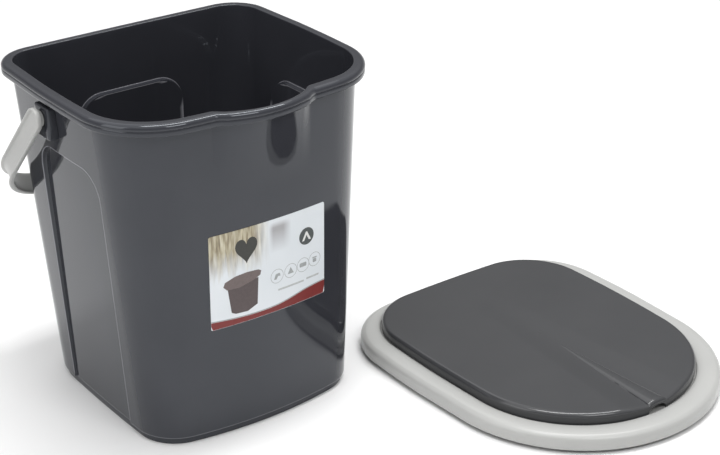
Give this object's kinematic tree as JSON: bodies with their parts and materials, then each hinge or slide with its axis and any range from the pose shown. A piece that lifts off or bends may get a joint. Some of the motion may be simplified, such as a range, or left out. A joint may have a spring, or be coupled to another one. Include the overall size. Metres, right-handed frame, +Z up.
{
  "type": "portable camp toilet",
  "caption": "Portable camp toilet: tall bucket with a pour lip, side and back panels and a swinging bail, with its loose seat and lid lying beside it.",
  "frame": {"origin": "centre of the bucket's flat base, on the floor", "axes": "+Z up, -Y towards the pour lip and label (front), +X towards the seat and lid lying beside the bucket"},
  "size_m": [0.6479, 0.5619, 0.36],
  "materials": {
    "anthracite_plastic": "glossy moulded",
    "light_grey_plastic": "smooth semi-gloss moulded",
    "label_film": "printed adhesive film"
  },
  "bodies": {
    "bucket": {"bucket": "anthracite_plastic", "left_pivot_boss": "anthracite_plastic", "right_pivot_boss": "anthracite_plastic", "label": "label_film"},
    "bail": {"bail": "light_grey_plastic"},
    "seat": {"seat": "light_grey_plastic"},
    "lid": {"lid": "anthracite_plastic"}
  },
  "joints": [
    {"name": "bail_swing", "type": "hinge", "parent": "bucket", "child": "bail", "pos_m": [0, 0.023, 0.329], "axis": [1, 0, 0], "range_deg": [0, 210]},
    {"name": "seat_lift", "type": "slide", "parent": "bucket", "child": "seat", "axis": [0, 0, 1], "range_m": [0, 0.42]},
    {"name": "lid_lift", "type": "slide", "parent": "seat", "child": "lid", "axis": [0, 0, 1], "range_m": [0, 0.12]}
  ]
}
